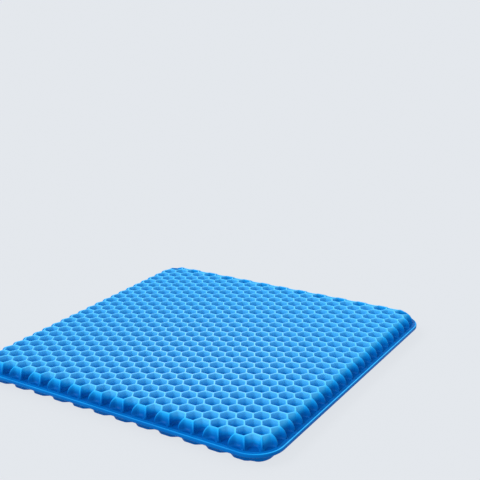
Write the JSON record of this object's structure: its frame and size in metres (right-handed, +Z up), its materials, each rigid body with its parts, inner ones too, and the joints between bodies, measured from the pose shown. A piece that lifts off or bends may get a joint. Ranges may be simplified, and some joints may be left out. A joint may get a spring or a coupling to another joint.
{
  "type": "honeycomb gel seat pad",
  "caption": "Flat seat pad of soft gel: hexagonal cells open on both faces, a centre web, and a flange round the rim.",
  "frame": {"origin": "centre of the lower face, on the surface that the pad lies on", "axes": "+Z up through the pad's thickness, +Y along the cell columns, the longer side, and +X across the columns"},
  "size_m": [0.3764, 0.3836, 0.026],
  "materials": {
    "upper_gel": "glossy translucent gel",
    "web_gel": "glossy translucent gel",
    "rim_gel": "glossy translucent gel",
    "lower_gel": "glossy translucent gel"
  },
  "bodies": {
    "lower_layer": {"lower_honeycomb": "lower_gel"},
    "core": {"centre_web": "web_gel", "rim_flange": "rim_gel"},
    "upper_layer": {"upper_honeycomb": "upper_gel"}
  },
  "joints": [
    {"name": "lower_cells_squash", "type": "slide", "parent": "lower_layer", "child": "core", "axis": [0, 0, -1], "range_m": [0, 0.004], "stiffness_N_per_m": 150000, "deforming": ["lower_honeycomb"]},
    {"name": "upper_cells_squash", "type": "slide", "parent": "core", "child": "upper_layer", "axis": [0, 0, -1], "range_m": [0, 0.004], "stiffness_N_per_m": 150000, "deforming": ["upper_honeycomb"]}
  ]
}
